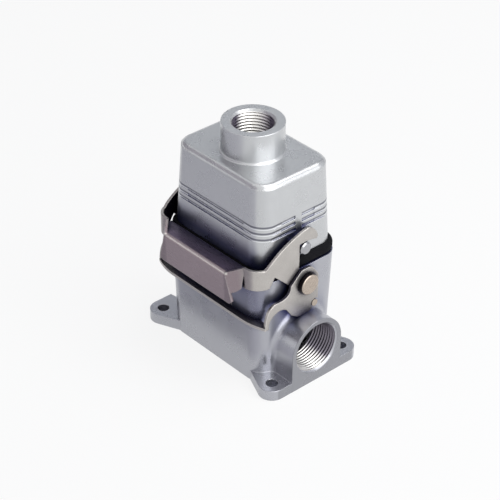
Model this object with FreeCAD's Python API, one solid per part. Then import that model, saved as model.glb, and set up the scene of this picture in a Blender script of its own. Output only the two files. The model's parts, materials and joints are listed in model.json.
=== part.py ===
import FreeCAD, Part
import math
import os

os.makedirs("parts", exist_ok=True)

V = FreeCAD.Vector
X_AXIS = V(1, 0, 0)
Y_AXIS = V(0, 1, 0)
Z_AXIS = V(0, 0, 1)

# Rectangular connector, hood on a surface mounted housing, millimetres
# Origin: middle of the base's underside. +Z up, +X to the side cable entry, -Y to the lever's grip

# Contacts in rows along X. The insert follows from them, and both shells' length and width from the insert
contact_columns = 3
contact_pitch_x = 13.0
contact_pitch_y = 9.0
contact_r = 2.2
contact_clearance = 0.04
contact_end = 2.0
pin_r = 1.25
socket_bore_clearance = 0.05

# Insert bodies
block_edge = 3.5
shroud_clearance = 0.5
shroud_wall = 2.0
flange_rim = 3.5
flange_thickness = 4.0
flange_corner = 3.0
terminal_lip = 1.0
terminal_corner = 1.0
terminal_depth = 11.0
block_corner = 1.5
shroud_corner = 2.5
insert_below_rim = 15.0
insert_gap = 23.0
mating_gap = 0.6

# Screws that hold the inserts to the columns in both shells
insert_screw_r = 1.5
insert_screw_head_r = 2.7
insert_screw_head_height = 2.2
insert_screw_depth = 7.0
screw_head_gap = 0.3
screw_clearance = 0.05
screw_end_gap = 1.0
column_gap = 0.5
column_length = 9.0

# Terminal screws
terminal_screw_r = 1.6
terminal_screw_height = 4.5
terminal_screw_set_back = 0.3

# Earth plates and their screws
earth_sheet = 1.2
earth_foot_set_back = 5.0
earth_tongue_width = 6.0
earth_tongue_end_gap = 7.5
earth_screw_r = 1.0
earth_screw_head_r = 1.7
earth_screw_head_height = 1.3
earth_screw_y = 5.6
earth_gap = 0.2
earth_inner_gap = 0.3
earth_screw_share = 0.8

# Shell walls, and the steps from the insert to the hood's foot and on to the housing's rim
hood_wall = 3.0
housing_wall = 3.2
flange_room_x = 1.65
flange_room_y = 2.2
ledge_x = 1.95
ledge_y = 1.3
shell_corner = 8.5

# Thread depth as a share of the pitch, and the chamfers at a threaded mouth
thread_depth_share = 0.5413
mouth_chamfer = 0.9
inner_relief = 0.5

# Side cable entry, M25 x 1.5, in an arched boss that stands on the base
side_thread_d = 25.0
side_thread_pitch = 1.5
side_boss_wall = 2.9
side_boss_foot = 2.8
side_boss_reach = 11.4
side_boss_fillet = 3.0

# Housing, which narrows towards its base
housing_draft = 1.5
floor_thickness = 4.0
rim_above_pivot = 5.8

# Fixing lugs
hole_beyond_rim_x = 5.15
hole_inside_rim_y = 2.6
fixing_hole_d = 5.5
lug_radius = 6.2
lug_thickness = 5.0
lug_end_width = 17.0
lug_root_depth = 1.0

# Seal between the housing and the hood
seal_height = 5.6
seal_inset = 0.1
seal_room = 1.5
seal_round = 2.2

# Hood, which narrows towards its top
hood_height = 39.9
hood_draft = 2.3
hood_roof = 3.5
hood_top_round = 2.8
groove_count = 3
groove_pitch = 2.9
groove_width = 1.5
groove_depth = 0.6
groove_middle_above_foot = 17.0
groove_break = 3.6

# Top cable entry, M20 x 1.5
top_thread_d = 20.0
top_thread_pitch = 1.5
collar_wall = 4.7
collar_height = 13.7
collar_foot_round = 1.2

# Rivets that both sheet pieces turn on
rivet_r = 2.5
rivet_head_r = 5.0
rivet_head_height = 2.3
rivet_head_round = 0.8
rivet_tail_r = 3.4
rivet_tail_height = 1.0
rivet_tail_gap = 0.3
pad_rim_gap = 0.8
pivot_pad_height = 0.25
spacer_thickness = 0.4
running_clearance = 0.06
side_clearance = 0.15

# Hood pegs
peg_r = 3.0
peg_above_foot = 5.7
peg_beyond_lever = 0.9
peg_chamfer = 0.6
peg_spigot_r = 2.0
peg_tail = 0.5

# Sheet of the lever and the bail
sheet = 1.3
sheet_gap = 0.35

# Locking lever
lever_front_gap = 4.5
lever_corner_r = 8.0
lever_eye_r = 6.0
hook_clearance = 0.3
hook_width = 6.5
hook_tip_deg = 18.5
hook_tip_width = 1.0
hook_crown_deg = 4.5
hook_shoulder_share = 0.65
hook_shoulder_lead_deg = 2.0
leaf_top_above_pivot = 14.9
leaf_back_flat = 1.8
band_low_above_pivot = 5.2
band_notch_back = 10.6
band_notch_depth = 2.8
band_notch_rise = 4.5
leaf_heel_y = 9.4
leaf_heel_above_pivot = 2.2
grip_ahead = 5.5
grip_lean = 0.7
grip_top_above_pivot = 12.0
grip_height = 15.0
grip_inside = 14.25
grip_flare = 4.0
grip_corner = 1.6
panel_heel_in = 0.9
panel_heel_up = 5.7
panel_knee_out = 0.6
panel_knee_up = 6.4
band_overlap = 0.8
flange_back_gap = 2.0
fold_r = 1.8

# Lower bail
bail_drop = 16.0
bail_boss_gap = 0.2
bail_web_above_eye = 1.3
bail_front_gap = 3.2
bail_wall_gap = 0.35
bail_straight_inside = 12.7
bail_end_set_back = 2.8
bail_rise_deg = 2.0

# Stop stud that the bail rests against
stud_r = 1.7
stud_y = 5.0
stud_drop_share = 0.8
stud_beyond_bail = 0.2
stud_spigot_r = 1.2
stud_clearance = 0.3

# Insert sizes worked out from the ones above
block_length = contact_columns * contact_pitch_x
block_width = contact_pitch_y + 2 * block_edge
shroud_length = block_length + 2 * (shroud_clearance + shroud_wall)
shroud_width = block_width + 2 * (shroud_clearance + shroud_wall)
insert_pitch_x = shroud_length
insert_pitch_y = shroud_width + 2 * (insert_screw_head_r + screw_head_gap)
flange_length = insert_pitch_x + 2 * flange_rim
flange_width = insert_pitch_y + 2 * flange_rim
earth_inner_x = shroud_length / 2 + earth_inner_gap
earth_outer_x = flange_length / 2
earth_screw_x = earth_outer_x - earth_screw_head_r
earth_foot_width = shroud_width - earth_foot_set_back
terminal_length = 2 * (earth_screw_x - earth_screw_head_r - earth_sheet)
terminal_width = block_width + 2 * terminal_lip
column_half = (insert_pitch_y - terminal_width) / 2 - column_gap

# Shell outlines
hood_foot_length = flange_length + 2 * (flange_room_x + hood_wall)
hood_foot_width = flange_width + 2 * (flange_room_y + hood_wall)
housing_top_length = hood_foot_length + 2 * ledge_x
housing_top_width = hood_foot_width + 2 * ledge_y
hole_pitch_x = housing_top_length + 2 * hole_beyond_rim_x
hole_pitch_y = housing_top_width - 2 * hole_inside_rim_y
side_face_x = housing_top_length / 2 + side_boss_reach

# Bores at the threads' minor diameter
side_bore_r = side_thread_d / 2 - thread_depth_share * side_thread_pitch
top_bore_r = top_thread_d / 2 - thread_depth_share * top_thread_pitch
side_boss_r = side_bore_r + side_boss_wall
collar_r = top_bore_r + collar_wall

# Heights
side_axis_z = side_boss_r + side_boss_foot
pivot_z = side_axis_z + side_boss_r + bail_boss_gap + bail_drop
housing_height = pivot_z + rim_above_pivot
seam_z = housing_height + seal_height
hood_top_z = seam_z + hood_height
collar_top_z = hood_top_z + collar_height
peg_z = seam_z + peg_above_foot
stud_z = pivot_z - stud_drop_share * bail_drop
female_flange_z = housing_height - insert_below_rim
female_top_z = female_flange_z + flange_thickness
male_flange_z = female_top_z + insert_gap
male_top_z = male_flange_z + flange_thickness
earth_tongue_length = insert_gap - earth_tongue_end_gap

housing_taper = math.tan(math.radians(housing_draft))
hood_taper = math.tan(math.radians(hood_draft))


def housing_half(z):
    """Half length and half width of the housing's outside at height z."""
    inward = (housing_height - z) * housing_taper
    return housing_top_length / 2 - inward, housing_top_width / 2 - inward


def hood_half(z):
    """Half length and half width of the hood's outside at height z."""
    inward = (z - seam_z) * hood_taper
    return hood_foot_length / 2 - inward, hood_foot_width / 2 - inward


def cavity_half(z):
    """Half length and half width of the housing's inside at height z."""
    hx, hy = housing_half(z)
    return hx - housing_wall, hy - housing_wall


# Planes of the sheet arms, measured outwards along X
pad_x = housing_half(pivot_z)[0] + pivot_pad_height
lever_in = pad_x + spacer_thickness + side_clearance
lever_out = lever_in + sheet
bail_in = lever_out + sheet_gap
bail_out = bail_in + sheet
rivet_head_x = bail_out + side_clearance
pivot_pad_r = rim_above_pivot - pad_rim_gap

# Fronts of the lever, its grip and the bail, measured towards -Y
lever_front_y = housing_top_width / 2 + lever_front_gap
grip_front_y = lever_front_y + grip_ahead
flange_back_y = hood_foot_width / 2 + flange_back_gap
bail_web_front_y = housing_top_width / 2 + bail_front_gap
bail_web_low_z = pivot_z - bail_drop + bail_web_above_eye


def rounded_wire(half_x, half_y, radius, z):
    """Closed rectangle with round corners, level at height z."""
    cx = half_x - radius
    cy = half_y - radius
    d = radius * math.sqrt(0.5)
    edges = []
    corners = [(1, -1), (1, 1), (-1, 1), (-1, -1)]
    for i in range(4):
        sx, sy = corners[i]
        nx, ny = corners[(i + 1) % 4]
        if sx * sy < 0:
            start = V(sx * cx, sy * half_y, z)
            end = V(sx * half_x, sy * cy, z)
        else:
            start = V(sx * half_x, sy * cy, z)
            end = V(sx * cx, sy * half_y, z)
        middle = V(sx * (cx + d), sy * (cy + d), z)
        edges.append(Part.Arc(start, middle, end).toShape())
        if nx * ny < 0:
            follow = V(nx * cx, ny * half_y, z)
        else:
            follow = V(nx * half_x, ny * cy, z)
        edges.append(Part.LineSegment(end, follow).toShape())
    return Part.Wire(edges)


def rounded_block(half_x, half_y, radius, low, high):
    """Upright block with round vertical corners."""
    face = Part.Face(rounded_wire(half_x, half_y, radius, low))
    return face.extrude(V(0, 0, high - low))


def drafted_block(half_at, radius, inset, low, high):
    """Block with sloping walls, its outline drawn in by inset."""
    lx, ly = half_at(low)
    hx, hy = half_at(high)
    r = max(radius - inset, 1.0)
    lower = rounded_wire(lx - inset, ly - inset, r, low)
    upper = rounded_wire(hx - inset, hy - inset, r, high)
    return Part.makeLoft([lower, upper], True, True)


def box(x0, x1, y0, y1, z0, z1):
    """Box between two corners."""
    return Part.makeBox(x1 - x0, y1 - y0, z1 - z0, V(x0, y0, z0))


def rod_x(r, x0, x1, y, z):
    """Cylinder along X from x0 to x1."""
    return Part.makeCylinder(r, abs(x1 - x0), V(min(x0, x1), y, z), X_AXIS)


def rod_z(r, z0, z1, x, y):
    """Cylinder along Z from z0 to z1."""
    return Part.makeCylinder(r, z1 - z0, V(x, y, z0), Z_AXIS)


def polar(radius, degrees):
    """Point (y, z) at an angle from straight up about the pivot, positive towards +Y."""
    a = math.radians(degrees)
    return radius * math.sin(a), pivot_z + radius * math.cos(a)


def mirror_x(shape):
    """The same shape on the other short side."""
    return shape.mirror(V(0, 0, 0), X_AXIS)


def group(shapes):
    """Separate solids kept together."""
    return Part.makeCompound(shapes)


def save(shape, name):
    """Write one piece."""
    shape.exportStep("parts/" + name + ".step")


def corners(pitch_x, pitch_y):
    """Centres of a rectangle of four holes."""
    return [(sx * pitch_x / 2, sy * pitch_y / 2) for sx in (1, -1) for sy in (1, -1)]


def contact_places():
    """Centres of the contacts, two rows of columns."""
    start = -contact_pitch_x * (contact_columns - 1) / 2
    rows = (-contact_pitch_y / 2, contact_pitch_y / 2)
    return [(start + i * contact_pitch_x, y) for i in range(contact_columns) for y in rows]


# Housing shell

def lug():
    """Fixing lug at the +X, +Y corner: a round end about its hole, widening into the body."""
    cx = hole_pitch_x / 2
    cy = hole_pitch_y / 2
    root = V(housing_half(0)[0] - shell_corner, housing_half(0)[1] - lug_root_depth, 0)
    dx = cx - root.x
    dy = cy - root.y
    distance = math.hypot(dx, dy)
    angle = math.atan2(dy, dx) + math.asin(lug_radius / distance)
    reach = math.sqrt(distance ** 2 - lug_radius ** 2)
    tangent = V(root.x + reach * math.cos(angle), root.y + reach * math.sin(angle), 0)
    middle_angle = (angle + math.pi / 2) / 2
    middle = V(cx + lug_radius * math.cos(middle_angle), cy + lug_radius * math.sin(middle_angle), 0)
    end = V(cx + lug_radius, cy, 0)
    inner_y = housing_half(0)[1] + lug_radius - lug_end_width
    inner = V(end.x, inner_y, 0)
    heel = V(root.x, inner_y - lug_radius / 2, 0)
    outline = Part.Wire([
        Part.LineSegment(root, tangent).toShape(),
        Part.Arc(tangent, middle, end).toShape(),
        Part.LineSegment(end, inner).toShape(),
        Part.LineSegment(inner, heel).toShape(),
        Part.LineSegment(heel, root).toShape(),
    ])
    return Part.Face(outline).extrude(V(0, 0, lug_thickness))


def side_boss():
    """Arched boss of the side cable entry, standing on the base."""
    start_x = housing_half(0)[0] - housing_wall
    r = side_boss_r
    arch = Part.Wire([
        Part.LineSegment(V(start_x, -r, 0), V(start_x, r, 0)).toShape(),
        Part.LineSegment(V(start_x, r, 0), V(start_x, r, side_axis_z)).toShape(),
        Part.Arc(V(start_x, r, side_axis_z), V(start_x, 0, side_axis_z + r),
                 V(start_x, -r, side_axis_z)).toShape(),
        Part.LineSegment(V(start_x, -r, side_axis_z), V(start_x, -r, 0)).toShape(),
    ])
    return Part.Face(arch).extrude(V(side_face_x - start_x, 0, 0))


def columns(half_at, low, high):
    """Four corner columns that the inserts are screwed to, reaching into the walls."""
    shapes = []
    far_x, far_y = half_at((low + high) / 2)
    for x, y in corners(insert_pitch_x, insert_pitch_y):
        sx = math.copysign(1, x)
        sy = math.copysign(1, y)
        xs = sorted((x - sx * column_half, sx * far_x))
        ys = sorted((y - sy * column_half, sy * far_y))
        shapes.append(box(xs[0], xs[1], ys[0], ys[1], low, high))
    return shapes


def mouth(r, chamfer, tip, axis):
    """Chamfered ring cut at a bore's mouth, its wide end at tip."""
    start = tip - axis * chamfer
    return Part.makeCone(r, r + chamfer, chamfer, start, axis)


def side_edges(shape, test):
    """Edges whose whole length passes a test on their points."""
    found = []
    for edge in shape.Edges:
        first, last = edge.ParameterRange
        points = [edge.valueAt(first + (last - first) * t / 4) for t in range(5)]
        if all(test(p) for p in points):
            found.append(edge)
    return found


def housing_shell():
    outer = drafted_block(housing_half, shell_corner, 0, 0, housing_height)
    body = outer.fuse(side_boss()).removeSplitter()
    wall_x = housing_half(side_axis_z)[0]
    slack = housing_taper * housing_height
    joint = side_edges(body, lambda p: abs(p.x - wall_x) < slack and abs(p.y) < side_boss_r + 0.1
                       and p.z < side_axis_z + side_boss_r + 0.1
                       and (abs(abs(p.y) - side_boss_r) < 0.05 or p.z > side_axis_z))
    body = body.makeFillet(side_boss_fillet, joint)
    one = lug()
    for lug_shape in (one, mirror_x(one)):
        body = body.fuse([lug_shape, lug_shape.mirror(V(0, 0, 0), Y_AXIS)])
    pad = rod_x(pivot_pad_r, pad_x - housing_wall / 2, pad_x, 0, pivot_z)
    body = body.fuse([pad, mirror_x(pad)])
    cavity = drafted_block(housing_half, shell_corner, housing_wall, floor_thickness, housing_height)
    body = body.cut(cavity)
    kept = [c.common(outer) for c in columns(housing_half, female_flange_z - column_length, female_flange_z)]
    body = body.fuse(kept).removeSplitter()
    relief_x = housing_half(side_axis_z + side_bore_r)[0] - housing_wall + inner_relief
    inside_x = cavity_half(floor_thickness)[0] - inner_relief
    body = body.cut(rod_x(side_bore_r, inside_x, side_face_x, 0, side_axis_z))
    body = body.cut(rod_x(side_bore_r + inner_relief, inside_x, relief_x, 0, side_axis_z))
    body = body.cut(mouth(side_bore_r, mouth_chamfer, V(side_face_x, 0, side_axis_z), X_AXIS))
    for x, y in corners(hole_pitch_x, hole_pitch_y):
        body = body.cut(rod_z(fixing_hole_d / 2, 0, lug_thickness, x, y))
    for x, y in corners(insert_pitch_x, insert_pitch_y):
        depth = insert_screw_depth + screw_end_gap
        body = body.cut(rod_z(insert_screw_r + screw_clearance, female_flange_z - depth,
                              female_flange_z, x, y))
    body = body.cut(rod_x(rivet_r + screw_clearance, -pad_x, pad_x, 0, pivot_z))
    wall = housing_half(stud_z)[0]
    for side in (1, -1):
        body = body.cut(rod_x(stud_spigot_r + screw_clearance, side * (wall - housing_wall / 2), side * wall,
                              stud_y, stud_z))
    return body


# Hood shell

def groove_ring(z):
    """Fine groove round the hood, drawn in by its depth."""
    low = z - groove_width / 2
    high = z + groove_width / 2
    hx, hy = hood_half(low)
    around = rounded_block(hx + groove_width, hy + groove_width, shell_corner, low, high)
    around = around.cut(drafted_block(hood_half, shell_corner, groove_depth, low, high))
    reach = hx + 2 * groove_width
    return around.cut(box(-reach, reach, -groove_break / 2, groove_break / 2, low, high))


def collar():
    """Round collar of the top cable entry, with a small round at its foot."""
    r = collar_r
    f = collar_foot_round
    bend = f * (1 - math.sqrt(0.5))
    base = hood_top_z - hood_roof / 2
    outline = Part.Wire([
        Part.LineSegment(V(0, 0, base), V(r + f, 0, base)).toShape(),
        Part.LineSegment(V(r + f, 0, base), V(r + f, 0, hood_top_z)).toShape(),
        Part.Arc(V(r + f, 0, hood_top_z), V(r + bend, 0, hood_top_z + bend),
                 V(r, 0, hood_top_z + f)).toShape(),
        Part.LineSegment(V(r, 0, hood_top_z + f), V(r, 0, collar_top_z)).toShape(),
        Part.LineSegment(V(r, 0, collar_top_z), V(0, 0, collar_top_z)).toShape(),
        Part.LineSegment(V(0, 0, collar_top_z), V(0, 0, base)).toShape(),
    ])
    return Part.Face(outline).revolve(V(0, 0, 0), Z_AXIS, 360)


def hood_shell():
    outer = drafted_block(hood_half, shell_corner, 0, seam_z, hood_top_z)
    top = side_edges(outer, lambda p: abs(p.z - hood_top_z) < 0.01)
    body = outer.makeFillet(hood_top_round, top)
    for i in range(groove_count):
        z = seam_z + groove_middle_above_foot + (i - (groove_count - 1) / 2) * groove_pitch
        body = body.cut(groove_ring(z))
    body = body.fuse(collar())
    body = body.cut(drafted_block(hood_half, shell_corner, hood_wall, seam_z, hood_top_z - hood_roof))
    kept = [c.common(outer) for c in columns(hood_half, male_top_z, hood_top_z - hood_roof / 2)]
    body = body.fuse(kept).removeSplitter()
    body = body.cut(rod_z(top_bore_r, hood_top_z - 2 * hood_roof, collar_top_z, 0, 0))
    body = body.cut(mouth(top_bore_r, mouth_chamfer, V(0, 0, collar_top_z), Z_AXIS))
    for x, y in corners(insert_pitch_x, insert_pitch_y):
        depth = insert_screw_depth + screw_end_gap
        body = body.cut(rod_z(insert_screw_r + screw_clearance, male_top_z, male_top_z + depth, x, y))
    reach = hood_half(peg_z - peg_r)[0]
    return body.cut(rod_x(peg_spigot_r + screw_clearance, -reach, reach, 0, peg_z))


def mating_seal():
    half_x = housing_top_length / 2 - seal_inset
    half_y = housing_top_width / 2 - seal_inset
    ring = rounded_block(half_x, half_y, shell_corner, housing_height, seam_z)
    edges = side_edges(ring, lambda p: abs(p.z - housing_height) < 0.01 or abs(p.z - seam_z) < 0.01)
    ring = ring.makeFillet(seal_round, edges)
    hole_half_x = flange_length / 2 + seal_room
    hole = rounded_block(hole_half_x, flange_width / 2, shell_corner / 2, housing_height, seam_z)
    return ring.cut(hole)


# Rivets, spacers, pegs and studs on the +X side

def pivot_rivet():
    inner_x = housing_half(pivot_z)[0] - housing_wall
    head = rod_x(rivet_head_r, rivet_head_x, rivet_head_x + rivet_head_height, 0, pivot_z)
    rim = side_edges(head, lambda p: p.x > rivet_head_x + rivet_head_height - 0.01)
    head = head.makeFillet(rivet_head_round, rim)
    shaft = rod_x(rivet_r, inner_x - rivet_tail_height, rivet_head_x, 0, pivot_z)
    tail = rod_x(rivet_tail_r, inner_x - rivet_tail_height, inner_x - rivet_tail_gap, 0, pivot_z)
    return head.fuse([shaft, tail]).removeSplitter()


def pivot_spacer():
    ring = rod_x(pivot_pad_r, pad_x, pad_x + spacer_thickness, 0, pivot_z)
    return ring.cut(rod_x(rivet_r + running_clearance, pad_x, pad_x + spacer_thickness, 0, pivot_z))


def hood_peg():
    """Chamfered stud with a spigot through the hood's wall."""
    face_x = hood_half(peg_z - peg_r)[0]
    end_x = lever_out + peg_beyond_lever
    body = rod_x(peg_r, face_x, end_x, 0, peg_z)
    rim = side_edges(body, lambda p: p.x > end_x - 0.01)
    body = body.makeChamfer(peg_chamfer, rim)
    return body.fuse(rod_x(peg_spigot_r, face_x - hood_wall - peg_tail, face_x, 0, peg_z)).removeSplitter()


def stop_stud():
    wall = housing_half(stud_z + stud_r)[0]
    end_x = bail_out + stud_beyond_bail
    body = rod_x(stud_r, wall, end_x, stud_y, stud_z)
    return body.fuse(rod_x(stud_spigot_r, wall - housing_wall / 2, wall, stud_y, stud_z)).removeSplitter()


# Locking lever, one folded sheet

hook_in_r = peg_z - pivot_z + peg_r + hook_clearance
hook_out_r = hook_in_r + hook_width
bend_x = lever_out - lever_corner_r
grip_top_z = pivot_z + grip_top_above_pivot
grip_low_z = grip_top_z - grip_height
band_low_z = pivot_z + band_low_above_pivot
band_top_z = pivot_z + leaf_top_above_pivot
band_notch_y = lever_front_y - band_notch_back
grip_top_half = lever_out - grip_inside
grip_low_half = grip_top_half + grip_flare


def lever_plan():
    """Plan of an upright arm and its bend to the front, as a flat face."""
    r_out = lever_corner_r
    r_in = lever_corner_r - sheet
    cy = r_out - lever_front_y
    d_out = r_out * math.sqrt(0.5)
    d_in = r_in * math.sqrt(0.5)
    end_x = bend_x - band_overlap
    return Part.Face(Part.Wire([
        Part.LineSegment(V(lever_in, hook_out_r, 0), V(lever_out, hook_out_r, 0)).toShape(),
        Part.LineSegment(V(lever_out, hook_out_r, 0), V(lever_out, cy, 0)).toShape(),
        Part.Arc(V(lever_out, cy, 0), V(bend_x + d_out, cy - d_out, 0), V(bend_x, cy - r_out, 0)).toShape(),
        Part.LineSegment(V(bend_x, cy - r_out, 0), V(end_x, cy - r_out, 0)).toShape(),
        Part.LineSegment(V(end_x, cy - r_out, 0), V(end_x, cy - r_in, 0)).toShape(),
        Part.LineSegment(V(end_x, cy - r_in, 0), V(bend_x, cy - r_in, 0)).toShape(),
        Part.Arc(V(bend_x, cy - r_in, 0), V(bend_x + d_in, cy - d_in, 0), V(lever_in, cy, 0)).toShape(),
        Part.LineSegment(V(lever_in, cy, 0), V(lever_in, hook_out_r, 0)).toShape(),
    ]))


def lever_side():
    """Side outline of an arm: eye, leaf with a curved back, hook over the peg, band to the front."""
    edge_y = -(peg_r + hook_clearance)
    edge_deg = math.degrees(math.asin(edge_y / hook_in_r))
    leaf_deg = -math.degrees(math.acos(leaf_top_above_pivot / hook_out_r))
    slot_start = polar(hook_in_r, edge_deg)
    slot_middle = polar(hook_in_r, (edge_deg + hook_tip_deg) / 2)
    tip_in = polar(hook_in_r, hook_tip_deg)
    tip_lead_deg = math.degrees(hook_tip_width / 2 / hook_in_r)
    tip_out = polar(hook_in_r + hook_tip_width, hook_tip_deg + tip_lead_deg)
    shoulder_deg = (hook_tip_deg + hook_crown_deg) / 2 + hook_shoulder_lead_deg
    shoulder = polar(hook_in_r + hook_shoulder_share * hook_width, shoulder_deg)
    crown = polar(hook_out_r, hook_crown_deg)
    back = polar(hook_out_r - leaf_back_flat, (hook_crown_deg + leaf_deg) / 2)
    leaf_top = polar(hook_out_r, leaf_deg)
    front = -(lever_front_y + sheet)
    notch = (-band_notch_y - band_notch_depth, band_low_z)
    points = [leaf_top, (front, band_top_z), (front, band_low_z), notch,
              (-band_notch_y, band_low_z + band_notch_rise), (-leaf_heel_y, pivot_z + leaf_heel_above_pivot),
              (edge_y, pivot_z), slot_start]

    def p(yz):
        return V(0, yz[0], yz[1])

    edges = [
        Part.Arc(p(slot_start), p(slot_middle), p(tip_in)).toShape(),
        Part.LineSegment(p(tip_in), p(tip_out)).toShape(),
        Part.Arc(p(tip_out), p(shoulder), p(crown)).toShape(),
        Part.Arc(p(crown), p(back), p(leaf_top)).toShape(),
    ]
    for i in range(len(points) - 1):
        edges.append(Part.LineSegment(p(points[i]), p(points[i + 1])).toShape())
    leaf = Part.Face(Part.Wire(edges)).extrude(V(2 * lever_out, 0, 0))
    leaf.translate(V(-lever_out, 0, 0))
    return leaf.fuse(rod_x(lever_eye_r, -lever_out, lever_out, 0, pivot_z))


def grip_panel():
    """Slanting panel between the grip plate and the band on the +X side, flat and of sheet thickness."""
    a = V(grip_top_half, -grip_front_y, grip_top_z)
    b = V(grip_low_half, -grip_front_y + grip_lean, grip_low_z)
    c = V(bend_x, -lever_front_y, grip_top_z)
    normal = (c - a).cross(b - a).normalize()

    def on_panel(x, z):
        y = a.y - (normal.x * (x - a.x) + normal.z * (z - a.z)) / normal.y
        return V(x, y, z)

    outline = [a, on_panel(bend_x, band_top_z), on_panel(bend_x, band_low_z),
               on_panel(grip_low_half + panel_knee_out, grip_low_z + panel_knee_up),
               on_panel(grip_low_half - panel_heel_in, grip_low_z + panel_heel_up), b]
    inward = normal * sheet
    if inward.y < 0:
        inward = inward * -1
    return Part.Face(Part.makePolygon(outline + [a])).extrude(inward)


def grip_fold():
    """Grip plate and the flange folded back from its top, each trimmed to its outline."""
    top = grip_top_z
    low = grip_low_z
    front = -grip_front_y
    r_out = fold_r
    r_in = fold_r - sheet
    d_out = r_out * (1 - math.sqrt(0.5))
    d_in = sheet + r_in * (1 - math.sqrt(0.5))
    section = Part.Wire([
        Part.LineSegment(V(0, -flange_back_y, top), V(0, front + r_out, top)).toShape(),
        Part.Arc(V(0, front + r_out, top), V(0, front + d_out, top - d_out),
                 V(0, front, top - r_out)).toShape(),
        Part.LineSegment(V(0, front, top - r_out), V(0, front + grip_lean, low)).toShape(),
        Part.LineSegment(V(0, front + grip_lean, low), V(0, front + grip_lean + sheet, low)).toShape(),
        Part.LineSegment(V(0, front + grip_lean + sheet, low), V(0, front + sheet, top - r_out)).toShape(),
        Part.Arc(V(0, front + sheet, top - r_out), V(0, front + d_in, top - d_in),
                 V(0, front + r_out, top - sheet)).toShape(),
        Part.LineSegment(V(0, front + r_out, top - sheet), V(0, -flange_back_y, top - sheet)).toShape(),
        Part.LineSegment(V(0, -flange_back_y, top - sheet), V(0, -flange_back_y, top)).toShape(),
    ])
    solid = Part.Face(section).extrude(V(2 * bend_x, 0, 0))
    solid.translate(V(-bend_x, 0, 0))
    plan = [V(grip_top_half, front, low), V(bend_x, -lever_front_y, low), V(bend_x, -flange_back_y, low),
            V(-bend_x, -flange_back_y, low), V(-bend_x, -lever_front_y, low), V(-grip_top_half, front, low)]
    flange = solid.common(Part.Face(Part.makePolygon(plan + [plan[0]])).extrude(V(0, 0, 2 * grip_height)))
    flange = flange.common(box(-bend_x, bend_x, front, 0, top - sheet - r_in, top))
    corner = grip_corner
    outline = [V(grip_top_half, 0, top), V(grip_low_half, 0, low + corner),
               V(grip_low_half - corner, 0, low), V(corner - grip_low_half, 0, low),
               V(-grip_low_half, 0, low + corner), V(-grip_top_half, 0, top)]
    reach = V(0, front - sheet, 0)
    plate = solid.common(Part.Face(Part.makePolygon(outline + [outline[0]])).extrude(reach))
    plate = plate.common(box(-bend_x, bend_x, front, front + 2 * fold_r, low, top))
    return flange.fuse(plate)


def locking_lever():
    wall = lever_plan().extrude(V(0, 0, 2 * hook_out_r))
    wall.translate(V(0, 0, pivot_z - hook_out_r))
    arms = wall.fuse(mirror_x(wall)).common(lever_side())
    panel = grip_panel()
    body = arms.fuse([grip_fold(), panel, mirror_x(panel)]).removeSplitter()
    return body.cut(rod_x(rivet_r + running_clearance, -lever_out, lever_out, 0, pivot_z))


# Lower bail, one folded sheet

# Neck outline, each point as shares of the bail's reach to the front and of its drop below the pivot
bail_neck_upper = [(0.35, -0.13), (0.45, 0.16), (0.57, 0.20), (0.71, 0.21), (0.81, 0.33), (0.87, 0.55),
                   (0.89, 0.78)]
bail_neck_lower = [(0.82, 0.78), (0.79, 0.67), (0.75, 0.59), (0.68, 0.52), (0.60, 0.48), (0.51, 0.50),
                   (0.43, 0.58)]

# Corners of the eye plate from the neck round to the neck: Y, share of the drop, rounding
bail_eye_corners = [(-8.6, 0.84, 3.0), (-4.6, 1.0, 3.0), (2.4, 1.0, 3.0), (6.9, 0.71, 2.0), (6.9, -0.12, 4.0),
                    (2.6, -0.48, 3.0), (-3.2, -0.48, 3.0)]


def bail_side():
    """Arm of the bail: eye plate, neck and the foot at the front web, with room for the stop stud."""

    def at(y, drop_share):
        return V(0, y, pivot_z - drop_share * bail_drop)

    over = [at(-reach * bail_web_front_y, drop) for reach, drop in bail_neck_upper]
    under = [at(-reach * bail_web_front_y, drop) for reach, drop in bail_neck_lower]
    eye = [at(y, drop) for y, drop, rounding in bail_eye_corners]
    upper = Part.BSplineCurve()
    upper.interpolate(over)
    lower = Part.BSplineCurve()
    lower.interpolate(under)
    foot = [over[-1], V(0, over[-1].y, bail_web_low_z), V(0, under[0].y, bail_web_low_z), under[0]]
    edges = [upper.toShape(), lower.toShape()]
    for line in (foot, [under[-1]] + eye + [over[0]]):
        for i in range(len(line) - 1):
            edges.append(Part.LineSegment(line[i], line[i + 1]).toShape())
    plate = Part.Face(Part.Wire(Part.__sortEdges__(edges))).extrude(V(sheet, 0, 0))
    plate.translate(V(bail_in, 0, 0))
    for point, (y, drop, rounding) in zip(eye, bail_eye_corners):
        corner = side_edges(plate, lambda q: abs(q.y - point.y) < 0.01 and abs(q.z - point.z) < 0.01)
        plate = plate.makeFillet(rounding, corner)
    stud = rod_x(stud_r + stud_clearance, bail_in, bail_out, stud_y, stud_z)
    for share in (0, 0.5, 1):
        plate = plate.cut(stud.rotated(V(0, 0, pivot_z), X_AXIS, share * bail_rise_deg))
    return plate


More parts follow.
